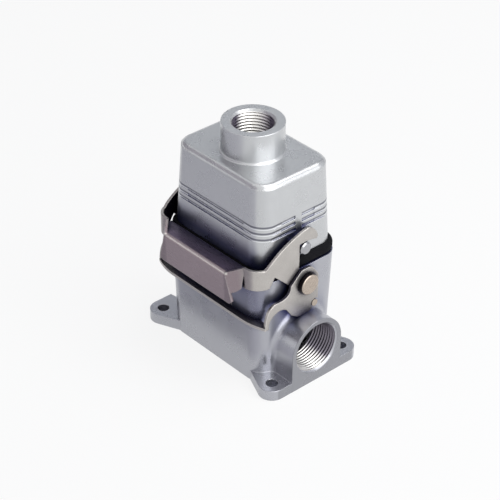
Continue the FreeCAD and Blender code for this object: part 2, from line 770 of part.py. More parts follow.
def bail_web():
    """Level web in front of the housing, its ends curving back along the housing's corners."""
    z = bail_web_low_z
    wall_x = housing_half(z + sheet)[0] + bail_wall_gap
    wall_y = housing_half(z + sheet)[1] + bail_wall_gap
    r_in = shell_corner
    front = -bail_web_front_y
    back = r_in - wall_y
    d = r_in * math.sqrt(0.5)
    half = bail_out - bail_straight_inside
    end_front = front + bail_end_set_back
    end_back = back - d
    foot_back = -bail_neck_lower[0][0] * bail_web_front_y
    end_wall = wall_x - r_in + d
    near_x = wall_x - r_in + r_in * math.sin(math.pi / 8)
    near_y = back - r_in * math.cos(math.pi / 8)
    edges = []
    for side in (1, -1):
        points = [V(0, front, z), V(side * half, front, z), V(side * bail_out, end_front, z),
                  V(side * bail_out, foot_back, z), V(side * end_wall, end_back, z),
                  V(side * (wall_x - r_in), -wall_y, z), V(0, -wall_y, z)]
        bow = V(side * (half + bail_out) / 2, front + bail_end_set_back / 4, z)
        edges += [
            Part.LineSegment(points[0], points[1]).toShape(),
            Part.Arc(points[1], bow, points[2]).toShape(),
            Part.LineSegment(points[2], points[3]).toShape(),
            Part.LineSegment(points[3], points[4]).toShape(),
            Part.Arc(points[4], V(side * near_x, near_y, z), points[5]).toShape(),
            Part.LineSegment(points[5], points[6]).toShape(),
        ]
    return Part.Face(Part.Wire(Part.__sortEdges__(edges))).extrude(V(0, 0, sheet))


def lower_bail():
    arm = bail_side()
    body = bail_web().fuse([arm, mirror_x(arm)]).removeSplitter()
    return body.cut(rod_x(rivet_r + running_clearance, -bail_out, bail_out, 0, pivot_z))


# Inserts

def flange_plate(low):
    plate = rounded_block(flange_length / 2, flange_width / 2, flange_corner, low, low + flange_thickness)
    for x, y in corners(insert_pitch_x, insert_pitch_y):
        plate = plate.cut(rod_z(insert_screw_r + screw_clearance, low, low + flange_thickness, x, y))
    return plate


def contact_holes(shape, low, high):
    for x, y in contact_places():
        shape = shape.cut(rod_z(contact_r + contact_clearance, low, high, x, y))
    return shape


def terminal_holes(shape, z):
    for x, y in contact_places():
        ys = sorted((y, math.copysign(terminal_width / 2, y)))
        hole = Part.makeCylinder(terminal_screw_r + screw_clearance, ys[1] - ys[0], V(x, ys[0], z), Y_AXIS)
        shape = shape.cut(hole)
    return shape


def female_insert_body():
    low = female_flange_z - terminal_depth
    high = male_flange_z - mating_gap
    body = flange_plate(female_flange_z)
    body = body.fuse([
        rounded_block(terminal_length / 2, terminal_width / 2, terminal_corner, low, female_flange_z),
        rounded_block(block_length / 2, block_width / 2, block_corner, female_top_z, high),
    ]).removeSplitter()
    body = contact_holes(body, low, high)
    body = terminal_holes(body, low + terminal_screw_height)
    for side in (1, -1):
        body = body.cut(rod_z(earth_screw_r + screw_clearance, female_flange_z, female_top_z,
                              side * earth_screw_x, earth_screw_y))
    return body


def male_insert_body():
    low = female_top_z + mating_gap
    high = male_top_z + terminal_depth
    inner_x = shroud_length / 2 - shroud_wall
    inner_y = shroud_width / 2 - shroud_wall
    shroud = rounded_block(shroud_length / 2, shroud_width / 2, shroud_corner, low, male_flange_z)
    shroud = shroud.cut(rounded_block(inner_x, inner_y, block_corner, low, male_flange_z))
    body = flange_plate(male_flange_z).fuse([
        rounded_block(terminal_length / 2, terminal_width / 2, terminal_corner, male_top_z, high),
        shroud,
    ]).removeSplitter()
    body = contact_holes(body, male_flange_z, high)
    body = terminal_holes(body, high - terminal_screw_height)
    for side in (1, -1):
        body = body.cut(rod_z(earth_screw_r + screw_clearance, male_flange_z, male_top_z,
                              side * earth_screw_x, earth_screw_y))
    return body


def socket_contacts():
    low = female_flange_z - terminal_depth - contact_end
    high = male_flange_z - mating_gap
    made = []
    for x, y in contact_places():
        tube = rod_z(contact_r, low, high, x, y)
        tube = tube.cut(rod_z(pin_r + socket_bore_clearance, female_top_z, high, x, y))
        made.append(tube)
    return group(made)


def pin_contacts():
    high = male_top_z + terminal_depth + contact_end
    made = []
    for x, y in contact_places():
        body = rod_z(contact_r, male_flange_z, high, x, y)
        pin = rod_z(pin_r, female_top_z + mating_gap, male_flange_z, x, y)
        made.append(body.fuse(pin).removeSplitter())
    return group(made)


def terminal_screws(z):
    made = []
    for x, y in contact_places():
        inner = abs(y) + contact_r + contact_clearance
        outer = terminal_width / 2 - terminal_screw_set_back
        ys = sorted((math.copysign(inner, y), math.copysign(outer, y)))
        made.append(Part.makeCylinder(terminal_screw_r, ys[1] - ys[0], V(x, ys[0], z), Y_AXIS))
    return group(made)


def insert_screws(face_z, direction):
    """Fixing screws, heads on the flange's free face, direction 1 where the head points up."""
    made = []
    for x, y in corners(insert_pitch_x, insert_pitch_y):
        head_z = sorted((face_z, face_z + direction * insert_screw_head_height))
        shank_z = sorted((face_z, face_z - direction * (flange_thickness + insert_screw_depth)))
        head = rod_z(insert_screw_head_r, head_z[0], head_z[1], x, y)
        shank = rod_z(insert_screw_r, shank_z[0], shank_z[1], x, y)
        made.append(head.fuse(shank).removeSplitter())
    return group(made)


def earth_plates(face_z, direction, tongue_x):
    """Foot on the flange outside the shroud's end, and an upright tongue, direction 1 where it points up."""
    foot_z = sorted((face_z, face_z + direction * earth_sheet))
    tongue_z = sorted((face_z, face_z + direction * earth_tongue_length))
    half = earth_foot_width / 2
    tongue_half = earth_tongue_width / 2
    foot = box(earth_inner_x, earth_outer_x, -half, half, foot_z[0], foot_z[1])
    tongue = box(tongue_x, tongue_x + earth_sheet, -tongue_half, tongue_half, tongue_z[0], tongue_z[1])
    plate = foot.fuse(tongue).removeSplitter()
    plate = plate.cut(rod_z(earth_screw_r + screw_clearance, foot_z[0], foot_z[1],
                            earth_screw_x, earth_screw_y))
    return group([plate, mirror_x(plate)])


def earth_screws(face_z, direction):
    """Earth screws, head on the plate's foot, direction 1 where the head points up."""
    made = []
    top = face_z + direction * earth_sheet
    for side in (1, -1):
        head_z = sorted((top, top + direction * earth_screw_head_height))
        shank_z = sorted((top, face_z - direction * flange_thickness * earth_screw_share))
        head = rod_z(earth_screw_head_r, head_z[0], head_z[1], side * earth_screw_x, earth_screw_y)
        shank = rod_z(earth_screw_r, shank_z[0], shank_z[1], side * earth_screw_x, earth_screw_y)
        made.append(head.fuse(shank).removeSplitter())
    return group(made)


save(housing_shell(), "housing_shell")
save(hood_shell(), "hood_shell")
save(mating_seal(), "mating_seal")

right_pieces = {
    "pivot_rivet": pivot_rivet(),
    "pivot_spacer": pivot_spacer(),
    "hood_peg": hood_peg(),
    "stop_stud": stop_stud(),
}
for name, shape in right_pieces.items():
    save(shape, name + "_right")
    save(mirror_x(shape), name + "_left")

save(locking_lever(), "locking_lever")
save(lower_bail(), "lower_bail")

save(female_insert_body(), "female_insert_body")
save(male_insert_body(), "male_insert_body")
save(socket_contacts(), "socket_contacts")
save(pin_contacts(), "pin_contacts")
save(terminal_screws(female_flange_z - terminal_depth + terminal_screw_height), "female_terminal_screws")
save(terminal_screws(male_top_z + terminal_depth - terminal_screw_height), "male_terminal_screws")
save(insert_screws(female_top_z, 1), "female_insert_screws")
save(insert_screws(male_flange_z, -1), "male_insert_screws")
save(earth_plates(female_top_z, 1, earth_inner_x), "female_earth_plates")
save(earth_plates(male_flange_z, -1, earth_inner_x + earth_sheet + earth_gap), "male_earth_plates")
save(earth_screws(female_top_z, 1), "female_earth_screws")
save(earth_screws(male_flange_z, -1), "male_earth_screws")
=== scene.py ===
import json
import math

import bpy
import numpy as np
from mathutils import Matrix, Vector

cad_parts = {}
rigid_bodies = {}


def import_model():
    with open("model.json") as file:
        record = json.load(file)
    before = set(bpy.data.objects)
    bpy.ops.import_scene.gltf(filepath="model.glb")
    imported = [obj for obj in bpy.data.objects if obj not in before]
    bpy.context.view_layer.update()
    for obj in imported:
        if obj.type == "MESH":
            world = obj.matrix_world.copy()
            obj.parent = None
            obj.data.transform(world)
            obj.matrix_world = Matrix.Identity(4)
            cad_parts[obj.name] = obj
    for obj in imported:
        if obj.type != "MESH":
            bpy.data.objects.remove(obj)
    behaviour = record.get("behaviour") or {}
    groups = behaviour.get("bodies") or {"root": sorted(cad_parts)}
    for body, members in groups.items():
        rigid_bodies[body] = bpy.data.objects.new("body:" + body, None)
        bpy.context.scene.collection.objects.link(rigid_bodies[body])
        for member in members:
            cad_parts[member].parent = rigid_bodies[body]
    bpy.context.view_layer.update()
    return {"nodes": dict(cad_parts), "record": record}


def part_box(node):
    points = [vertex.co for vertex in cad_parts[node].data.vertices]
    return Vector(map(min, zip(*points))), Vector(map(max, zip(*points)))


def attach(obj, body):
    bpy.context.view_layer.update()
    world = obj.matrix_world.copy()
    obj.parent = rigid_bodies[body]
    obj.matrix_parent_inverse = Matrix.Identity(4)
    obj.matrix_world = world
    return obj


bl_info = {
    "name": "Rectangular connector dressing",
    "version": (1, 0, 0),
    "blender": (4, 5, 0),
    "location": "3D View > Sidebar > Connector",
    "description": "Finishes, threads and studio for a heavy duty rectangular connector",
    "category": "Object",
}

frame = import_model()
MM = 0.001

# Colours: painted shade and the grip's painted shade factor, the rubber and the hidden pieces

FRONT_PAINTED_SHADE = (0.08, 0.088, 0.19)
GAP_PAINTED_SHADE = (0.05, 0.056, 0.165)
GROOVE_PAINTED_SHADE = (0.06, 0.062, 0.10)
SHEET_PAINTED_SHADE = (0.015, 0.012, 0.03)
BORE_PAINTED_SHADE = (0.06, 0.045, 0.09)
RIVET_PAINTED_SHADE = (0.015, 0.012, 0.015)
FLANGE_PAINTED_SHADE = (0.13, 0.10, 0.17)
GRIP_SHADE_FACTOR = (0.70, 0.59, 0.67)
RUBBER_BLACK = (0.002, 0.002, 0.003)
RUBBER_BLOOM = (0.007, 0.007, 0.009)
INSERT_GREY = (0.45, 0.455, 0.44)
CONTACT_PLATING = (0.82, 0.8, 0.72)
EARTH_SHEET = (0.6, 0.59, 0.56)

# Grooves round the hood, and the parts of one with a painted highlight and a painted shade, as shares of its
# width from below: low, rise, fall, high

GROOVES = 3
GROOVE_HIGHLIGHT_PART = (0.0, 0.05, 0.25, 0.35)
GROOVE_SHADE_PART = (0.3, 0.6, 1.0, 1.1)

# Painted shade on the front where the lever shades it, in millimetres: clear and full are heights over the
# hood's foot, side and flat lie behind its front

SHADE_BEHIND_GRIP = {"clear": 13.5, "full": 3.5, "side": 2.4, "flat": 0.9}
SHADE_UNDER_BAND = {"clear": -32.0, "full": -26.0, "side": 5.5, "flat": 2.0}

# Painted shade in the shells' gaps: heights in millimetres over the hood's foot for the hood and over the
# base for the housing, and the share of its surroundings that an unshaded point sees

HOOD_GAP_SHADE = {"clean": 24.0, "grimy": 16.0, "open_share": 0.75}
HOUSING_GAP_SHADE = {"clean": 16.0, "grimy": 24.0, "open_share": 0.85}

# Painted shade on the side entry's face: from where to where it sets in, in millimetres past the housing's
# end

ENTRY_FACE_SHADE = (-0.4, -0.2)

# Lever's grip, in millimetres: its flange over the pivot, how much shorter the fold is at each end, and how
# far the flange's ends slant outwards for each millimetre back

FLANGE_RISE = 12.0
FOLD_SHORTER = 14.25
FLANGE_SLANT = 1.05

# Where the lever's sheet gets painted shade and highlight, in millimetres: heights over the flange, depths
# behind the grip's front, and ends from the fold's end outwards

FLANGE_HEIGHTS = (-0.3, -0.12, 0.2, 0.4)
FLANGE_DEPTHS = (1.3, 2.0, 10.2, 10.4)
FLANGE_ENDS = (-0.3, -0.6)
FLANGE_REACH = 6.0
FOLD_HEIGHTS = (-0.95, -0.7)
FOLD_DEPTHS = (0.95, 0.7)
GRIP_DEPTHS = (7.0, 3.5)
END_FACE_DEPTHS = (7.0, 6.0)
END_FACE_ENDS = (-1.0, 0.0)

# Gaps and roundings: an edge shows where the rounded normal leans from the flat one, by these cosines

GAP_REACH = 13 * MM
GAP_SAMPLES = 8
BEVEL_SAMPLES = 6
TURNED_EDGE = 0.2 * MM
RIVET_EDGE = 0.4 * MM
EDGE_COSINES = (0.995, 0.93)
MIDDLE_OF_NOISE = (0.3, 0.7)

# Threads: the grid's points, the tooth's slope and dip, and the sleeve's gaps to the bore's wall

POINTS_AROUND = 128
POINTS_PER_PITCH = 14
TOOTH_SLOPE = 1.55
TOOTH_DIP = 0.2
CREST_GAP = 0.02 * MM
WALL_GAP = 0.01 * MM

# Studio: the point that the lamps shine at, lamps with place, size and power, cards with corners and colour

LOOK_AT = (0, 0, 0.055)
LAMPS = (
    ("Key", (0.9, 0.1, 0.45), 1.2, 9.0),
    ("Top", (0.2, 0.3, 0.95), 0.6, 4.0),
)
CARDS = (
    ("Side card", [(-1.0, 0.1, 0.22), (0.15, -0.85, 0.22), (0.15, -0.85, 0.9), (-1.0, 0.1, 0.9)],
     (0.5, 0.46, 0.5)),
    ("Front card", [(-0.7, -0.6, 0.0005), (0.05, -0.6, 0.0005), (0.05, -0.036, 0.0005),
                    (-0.7, -0.036, 0.0005)], (0.8, 0.78, 0.82)),
    ("Back card", [(-1.0, 0.1, 0.3), (-0.3, 1.0, 0.3), (-0.3, 1.0, 1.2), (-1.0, 0.1, 1.2)],
     (0.78, 0.79, 0.81)),
    ("Right card", [(-0.3, 1.0, 0.02), (1.1, 0.6, 0.02), (1.1, 0.6, 1.6), (-0.3, 1.0, 1.6)],
     (0.84, 0.84, 0.86)),
)

# Floor and room light: how white the floor is seen and mirrored, and its shade under the fixing holes

FLOOR_HALF = 4.0
FLOOR_DROP = 0.05 * MM
FLOOR_SEEN_WHITE = 0.86
FLOOR_MIRRORED_WHITE = 0.74
HOLE_MARGIN = 0.3
HOLE_SHADE = (0.1, 0.1, 0.14)
HOLE_SHADE_FRONT = (0.42, 0.42, 0.5)
HOLE_SHADE_SPAN = (-8.0, 34.0)
ROOM_COLOR = (0.86, 0.9, 1.0, 1)
ROOM_STRENGTH = 0.3
WHITE = (1, 1, 1, 1)


# Property groups

class CastFinish(bpy.types.PropertyGroup):
    hood_color: bpy.props.FloatVectorProperty(
        name="Hood paint", description="Silver grey of the hood", subtype="COLOR",
        default=(0.575, 0.585, 0.595), min=0, max=1)
    housing_color: bpy.props.FloatVectorProperty(
        name="Housing paint", description="Silver grey of the housing", subtype="COLOR",
        default=(0.45, 0.455, 0.49), min=0, max=1)
    roughness: bpy.props.FloatProperty(
        name="Roughness", description="Roughness of the paint", default=0.28, min=0, max=1,
        subtype="FACTOR")
    metallic: bpy.props.FloatProperty(
        name="Metallic", description="How far the paint looks like bare metal", default=0.85, min=0, max=1,
        subtype="FACTOR")
    grain: bpy.props.FloatProperty(
        name="Grain height", description="Height of the cast surface's grain", default=0.01 * MM, min=0,
        max=MM, unit="LENGTH", precision=6)
    edge: bpy.props.FloatProperty(
        name="Edge round", description="Radius that softens the cast edges", default=0.5 * MM, min=0,
        max=2 * MM, unit="LENGTH", precision=5)
    groove_height: bpy.props.FloatProperty(
        name="Groove height", description="Lower edge of the hood's lowest groove", default=72.93 * MM,
        unit="LENGTH", precision=5)
    groove_pitch: bpy.props.FloatProperty(
        name="Groove pitch", description="Step from groove to groove", default=2.9 * MM, unit="LENGTH",
        precision=5)
    groove_width: bpy.props.FloatProperty(
        name="Groove width", description="Width of a groove", default=1.5 * MM, unit="LENGTH", precision=5)
    groove_break: bpy.props.FloatProperty(
        name="Groove break", description="Half the gap in the grooves on the short sides", default=1.8 * MM,
        unit="LENGTH", precision=5)


class SheetFinish(bpy.types.PropertyGroup):
    color: bpy.props.FloatVectorProperty(
        name="Sheet", description="Warm grey of the plated sheet", subtype="COLOR",
        default=(0.50, 0.475, 0.45), min=0, max=1)
    roughness: bpy.props.FloatProperty(
        name="Roughness", description="Roughness of the plated sheet", default=0.3, min=0, max=1,
        subtype="FACTOR")
    edge: bpy.props.FloatProperty(
        name="Edge round", description="Radius that softens the sheet's edges", default=0.6 * MM, min=0,
        max=2 * MM, unit="LENGTH", precision=5)


class TurnedFinish(bpy.types.PropertyGroup):
    peg_color: bpy.props.FloatVectorProperty(
        name="Pegs", description="Bright plating of the hood pegs", subtype="COLOR",
        default=(0.42, 0.42, 0.44), min=0, max=1)
    rivet_color: bpy.props.FloatVectorProperty(
        name="Rivets", description="Slightly yellow plating of the rivets", subtype="COLOR",
        default=(0.48, 0.41, 0.35), min=0, max=1)
    roughness: bpy.props.FloatProperty(
        name="Roughness", description="Roughness of turned metal", default=0.2, min=0, max=1,
        subtype="FACTOR")


class ThreadSizes(bpy.types.PropertyGroup):
    pitch: bpy.props.FloatProperty(
        name="Pitch", description="Pitch of both entry threads", default=1.5 * MM, min=0.5 * MM, max=3 * MM,
        unit="LENGTH", precision=5)
    depth: bpy.props.FloatProperty(
        name="Depth", description="Height of the thread that shows", default=0.45 * MM, min=0.1 * MM,
        max=MM, unit="LENGTH", precision=5)
    color: bpy.props.FloatVectorProperty(
        name="Cut metal", description="Bright machined metal of the threads", subtype="COLOR",
        default=(0.96, 0.93, 0.90), min=0, max=1)


class StageSetup(bpy.types.PropertyGroup):
    azimuth: bpy.props.FloatProperty(
        name="Azimuth", description="Camera's angle round the part", default=math.radians(47.78),
        subtype="ANGLE")
    elevation: bpy.props.FloatProperty(
        name="Elevation", description="Camera's angle above the floor", default=math.radians(34.05),
        subtype="ANGLE")
    roll: bpy.props.FloatProperty(
        name="Roll", description="Camera's turn about its own axis", default=math.radians(0.67),
        subtype="ANGLE")
    place: bpy.props.FloatVectorProperty(
        name="Place", description="Where the camera stands", default=(0.4777, -0.4344, 0.4833),
        subtype="TRANSLATION", precision=4)
    lens: bpy.props.FloatProperty(
        name="Lens", description="Focal length in millimetres on a 36 mm sensor", default=126.4, min=20,
        max=400)
    floor_color: bpy.props.FloatVectorProperty(
        name="Floor", description="Pale floor under the part", subtype="COLOR", default=(0.9, 0.9, 0.9),
        min=0, max=1)


# Node helpers

class Nodes:
    """Short hand for one material's node tree."""

    def __init__(self, name):
        self.material = bpy.data.materials.new(name)
        self.material.use_nodes = True
        self.tree = self.material.node_tree
        self.tree.nodes.clear()
        self.out = self.add("ShaderNodeOutputMaterial")

    def add(self, kind, inputs=None, **settings):
        node = self.tree.nodes.new(kind)
        for key, value in settings.items():
            setattr(node, key, value)
        for key, value in (inputs or {}).items():
            if isinstance(value, bpy.types.NodeSocket):
                self.tree.links.new(value, node.inputs[key])
            else:
                node.inputs[key].default_value = value
        return node

    def objects(self, scale=(1, 1, 1)):
        """Object coordinates in millimetres, stretched along an axis by scale."""
        place = self.add("ShaderNodeTexCoord").outputs["Object"]
        mapped = self.add("ShaderNodeMapping", {"Vector": place, "Scale": tuple(s / MM for s in scale)})
        return mapped.outputs["Vector"]

    def place(self):
        """X, Y and Z of the object coordinates in millimetres."""
        parts = self.add("ShaderNodeSeparateXYZ", {0: self.objects()}).outputs
        return parts["X"], parts["Y"], parts["Z"]

    def noise(self, vector, size, detail=3.0, roughness=0.55):
        """Noise whose features are about size millimetres across, from 0 to 1."""
        return self.add("ShaderNodeTexNoise", {"Vector": vector, "Scale": 1 / size, "Detail": detail,
                                               "Roughness": roughness}).outputs["Fac"]

    def span(self, value, low, high, to_low=0.0, to_high=1.0):
        """Value from low to high carried to to_low to to_high, clamped."""
        return self.add("ShaderNodeMapRange", {"Value": value, "From Min": low, "From Max": high,
                                               "To Min": to_low, "To Max": to_high}).outputs["Result"]

    def window(self, value, low, rise, fall, high):
        """0 up to low, 1 from rise to fall and 0 again from high on."""
        return self.math("MULTIPLY", self.span(value, low, rise), self.span(value, high, fall))

    def math(self, operation, a, b=0.0):
        return self.add("ShaderNodeMath", {0: a, 1: b}, operation=operation).outputs["Value"]

    def every(self, *shares):
        """Product of several shares from 0 to 1."""
        product = shares[0]
        for share in shares[1:]:
            product = self.math("MULTIPLY", product, share)
        return product

    def mix(self, factor, a, b):
        """Colour a at factor 0 and b at 1."""
        node = self.add("ShaderNodeMix", data_type="RGBA")
        for socket, value in ((node.inputs[0], factor), (node.inputs[6], a), (node.inputs[7], b)):
            if isinstance(value, bpy.types.NodeSocket):
                self.tree.links.new(value, socket)
            else:
                socket.default_value = value if socket is node.inputs[0] else (*value[:3], 1)
        return node.outputs[2]

    def cover(self, base, share, most, color):
        """Base covered with a colour, up to most of it where share is 1."""
        return self.mix(self.math("MULTIPLY", share, most), base, color)

    def dull(self, noise, low, high):
        """Roughness from low to high over the noise's middle range."""
        return self.span(noise, *MIDDLE_OF_NOISE, low, high)

    def bump(self, height, distance, normal=None, strength=1.0):
        inputs = {"Height": height, "Distance": distance, "Strength": strength}
        if normal is not None:
            inputs["Normal"] = normal
        return self.add("ShaderNodeBump", inputs).outputs["Normal"]

    def rounded(self, radius):
        """Normal that rounds sharp edges by radius."""
        return self.add("ShaderNodeBevel", {"Radius": radius}, samples=BEVEL_SAMPLES).outputs["Normal"]

    def edges(self, radius):
        """1 along sharp edges within radius, 0 on flat faces."""
        flat = self.add("ShaderNodeNewGeometry").outputs["Normal"]
        across = self.add("ShaderNodeVectorMath", {0: self.rounded(radius), 1: flat}, operation="DOT_PRODUCT")
        return self.span(across.outputs["Value"], *EDGE_COSINES)

    def occlusion_shade(self, least, most):
        """Share of painted shade in gaps: 0 where a point sees more than least of its surroundings, 1 where
        under most.
        """
        seen = self.add("ShaderNodeAmbientOcclusion", {"Distance": GAP_REACH}, samples=GAP_SAMPLES)
        return self.span(seen.outputs["AO"], least, most)

    def surface(self, inputs):
        """Principled surface as the material's output."""
        shader = self.add("ShaderNodeBsdfPrincipled", inputs)
        self.tree.links.new(shader.outputs["BSDF"], self.out.inputs["Surface"])
        return self.material


def tone(color, factor):
    """A colour made lighter or darker by a factor."""
    return tuple(min(1.0, c * factor) for c in color[:3])


def both(name):
    """A node's right and left copies."""
    return name + "_right", name + "_left"


# Materials

def groove_band(n, finish, low, rise, fall, high):
    """1 in one part of each of the hood's grooves, with soft edges, and 0 elsewhere.

    The part lies between low and high, as shares of a groove's width from below.
    """
    _, y, z = n.place()
    width = finish.groove_width / finish.groove_pitch
    share = n.math("DIVIDE", n.math("SUBTRACT", z, finish.groove_height / MM), finish.groove_pitch / MM)
    inside = n.window(n.math("FRACT", share), width * low, width * rise, width * fall, width * high)
    banded = n.math("MULTIPLY", n.math("GREATER_THAN", share, 0.0), n.math("LESS_THAN", share, GROOVES))
    beside = n.math("GREATER_THAN", n.math("ABSOLUTE", y), finish.groove_break / MM)
    return n.every(inside, banded, beside)


def front_painted_shade(n, clear, full, side, flat):
    """Share of the painted shade on a shell's front where the lever keeps it in shade.

    It grows from height clear to height full over the hood's foot, and from side to flat behind its front.
    """
    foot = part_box("mating_seal")[1][2] / MM
    front = -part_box("hood_shell")[0][1] / MM
    _, y, z = n.place()
    ahead = n.span(n.math("MULTIPLY", y, -1.0), front - side, front - flat)
    return n.math("MULTIPLY", n.span(z, foot + clear, foot + full), ahead)


def painted_casting(n, color, finish):
    """Clouds in the paint and its base colour, lighter along the edges, partly from wear and partly as a
    painted highlight.
    """
    clouds = n.noise(n.objects(), size=9.0)
    base = n.mix(clouds, tone(color, 0.95), tone(color, 1.05))
    # Lighter edges: partly worn paint, partly a painted highlight
    return clouds, n.cover(base, n.edges(finish.edge), most=0.35, color=tone(color, 1.35))


def casting_surface(n, base, clouds, finish, clean, grimy, open_share):
    """Satin paint over fine grain, with painted shade in the gaps.

    The painted shade grows from none at the first height to all of it at the second, in millimetres, and lies
    where a point sees less than open_share of its surroundings.
    """
    _, _, z = n.place()
    # Painted shade in the gaps between parts, set by occlusion and height
    base = n.mix(n.every(n.occlusion_shade(open_share, 0.35), n.span(z, clean, grimy)), base, GAP_PAINTED_SHADE)
    grain = n.noise(n.objects(), size=0.9, detail=1.5)
    return n.surface({"Base Color": base, "Metallic": finish.metallic,
                      "Roughness": n.dull(clouds, finish.roughness - 0.04, finish.roughness + 0.06),
                      "Normal": n.bump(grain, finish.grain, n.rounded(finish.edge))})


def hood_paint(finish):
    """Hood's silver paint: painted shade and painted highlight lines in the grooves, and painted shade above
    the lever.
    """
    n = Nodes("Hood paint")
    color = finish.hood_color
    clouds, base = painted_casting(n, color, finish)
    # Painted shade in the upper part of each groove
    base = n.cover(base, groove_band(n, finish, *GROOVE_SHADE_PART), most=0.75, color=GROOVE_PAINTED_SHADE)
    # Painted highlight on the lower lip of each groove
    base = n.cover(base, groove_band(n, finish, *GROOVE_HIGHLIGHT_PART), most=0.7, color=tone(color, 1.6))
    # Painted shade on the hood's front behind and above the lever's grip
    base = n.cover(base, front_painted_shade(n, **SHADE_BEHIND_GRIP), most=0.88, color=FRONT_PAINTED_SHADE)
    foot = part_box("mating_seal")[1][2] / MM
    return casting_surface(n, base, clouds, finish, foot + HOOD_GAP_SHADE["clean"], foot + HOOD_GAP_SHADE["grimy"],
                           HOOD_GAP_SHADE["open_share"])


def housing_paint(finish):
    """Housing's silver paint: painted shade on the cable entry face and on the front below the lever."""
    n = Nodes("Housing paint")
    color = finish.housing_color
    clouds, base = painted_casting(n, color, finish)
    x, _, _ = n.place()
    past_end = n.math("SUBTRACT", x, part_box("housing_shell")[1][0] / MM)
    # Painted shade on the side entry's face
    base = n.mix(n.span(past_end, *ENTRY_FACE_SHADE), base, tone(color, 0.7))
    # Painted shade on the housing's front under the lever's band
    base = n.cover(base, front_painted_shade(n, **SHADE_UNDER_BAND), most=0.45, color=FRONT_PAINTED_SHADE)
    return casting_surface(n, base, clouds, finish, **HOUSING_GAP_SHADE)


def rolled_sheet(n, color):
    """Streaks along X and the stained base colour of rolled sheet."""
    streaks = n.noise(n.objects((0.06, 1, 1)), size=0.3, detail=4.0)
    stains = n.noise(n.objects(), size=5.0)
    return streaks, n.mix(stains, tone(color, 0.88), tone(color, 1.08))


def sheet_surface(n, base, streaks, finish, open_share, shut_share):
    """Plated sheet with painted shade: none where it sees open_share of its surroundings, all at shut_share.
    """
    # Painted shade in the sheet's gaps, where nearby parts hide the surroundings
    return n.surface({"Base Color": n.mix(n.occlusion_shade(open_share, shut_share), base, SHEET_PAINTED_SHADE), "Metallic": 0.85,
                      "Roughness": n.dull(streaks, finish.roughness - 0.07, finish.roughness + 0.1),
                      "Normal": n.bump(streaks, 0.006 * MM, n.rounded(finish.edge))})


def plated_sheet(name, color, finish, open_share=0.9, shut_share=0.45, edge_highlight=0.5):
    """Rolled and plated steel sheet with a painted highlight on its edges, whose strength the last argument
    gives.
    """
    n = Nodes(name)
    streaks, base = rolled_sheet(n, color)
    # Painted highlight along the sheet's edges
    base = n.cover(base, n.edges(finish.edge), most=edge_highlight, color=tone(color, 1.5))
    return sheet_surface(n, base, streaks, finish, open_share, shut_share)


def lever_sheet(name, finish):
    """The lever's plated sheet: violet painted shade on the grip, painted shade on the flange and end faces,
    and a painted highlight on the fold and edges.

    The flange is a trapezoid: from the fold's ends it gets wider by FLANGE_SLANT for each millimetre back.
    """
    n = Nodes(name)
    color = finish.color
    streaks, base = rolled_sheet(n, color)
    joints = {joint["name"]: joint for joint in frame["record"]["behaviour"]["joints"]}
    flange = joints["lever_hinge"]["pos_m"][2] / MM + FLANGE_RISE
    low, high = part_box("locking_lever")
    x, y, z = n.place()
    up = n.math("SUBTRACT", z, flange)
    behind = n.math("SUBTRACT", y, low[1] / MM)
    outwards = n.math("SUBTRACT", n.math("ABSOLUTE", x), high[0] / MM - FOLD_SHORTER)
    past_slant = n.math("SUBTRACT", outwards, n.math("MULTIPLY", behind, FLANGE_SLANT))
    grip = n.span(behind, *GRIP_DEPTHS)
    on_flange = n.every(n.window(up, *FLANGE_HEIGHTS), n.window(behind, *FLANGE_DEPTHS),
                        n.span(past_slant, *FLANGE_ENDS), n.math("LESS_THAN", outwards, FLANGE_REACH))
    fold = n.every(n.span(up, *FOLD_HEIGHTS), n.span(behind, *FOLD_DEPTHS))
    end_face = n.every(n.span(behind, *END_FACE_DEPTHS), n.span(outwards, *END_FACE_ENDS))
    # Painted highlight on the edges and along the fold
    bright = n.math("MAXIMUM", n.math("MULTIPLY", n.edges(finish.edge), 0.3), n.math("MULTIPLY", fold, 0.9))
    # Violet painted shade on the grip's front
    grip_shade_color = tuple(c * share for c, share in zip(color, GRIP_SHADE_FACTOR))
    base = n.cover(base, grip, most=0.9, color=grip_shade_color)
    # Painted shade on the flange
    base = n.cover(base, on_flange, most=0.8, color=FLANGE_PAINTED_SHADE)
    base = n.mix(bright, base, tone(color, 1.7))
    # Painted shade on the grip's end faces
    base = n.cover(base, end_face, most=0.25, color=SHEET_PAINTED_SHADE)
    return sheet_surface(n, base, streaks, finish, open_share=0.9, shut_share=0.45)


def turned_metal(name, color, roughness):
    """Turned and plated metal with fine lines across X, the axis of the pegs, rivets and studs."""
    n = Nodes(name)
    lines = n.noise(n.objects((6, 1, 1)), size=1.2, detail=2.0)
    return n.surface({"Base Color": n.mix(lines, tone(color, 0.9), tone(color, 1.1)), "Metallic": 1.0,
                      "Roughness": n.dull(lines, roughness - 0.05, roughness + 0.08),
                      "Normal": n.bump(lines, 0.004 * MM, n.rounded(TURNED_EDGE))})


def rivet_plating(name, color, roughness, node):
    """Turned metal with a bright face and painted shade on the head's side wall."""
    n = Nodes(name)
    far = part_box(node)[1][0] / MM
    x, _, _ = n.place()
    face = n.span(n.math("ABSOLUTE", x), far - 0.45, far - 0.2)
    cloud = n.noise(n.objects(), size=1.6)
    bright = n.mix(cloud, tone(color, 0.8), tone(color, 1.25))
    # Painted shade on the head's side wall, bright on its face
    return n.surface({"Base Color": n.mix(face, RIVET_PAINTED_SHADE, bright), "Metallic": 1.0,
                      "Roughness": n.dull(cloud, roughness, roughness + 0.15),
                      "Normal": n.bump(cloud, 0.05 * MM, n.rounded(RIVET_EDGE))})


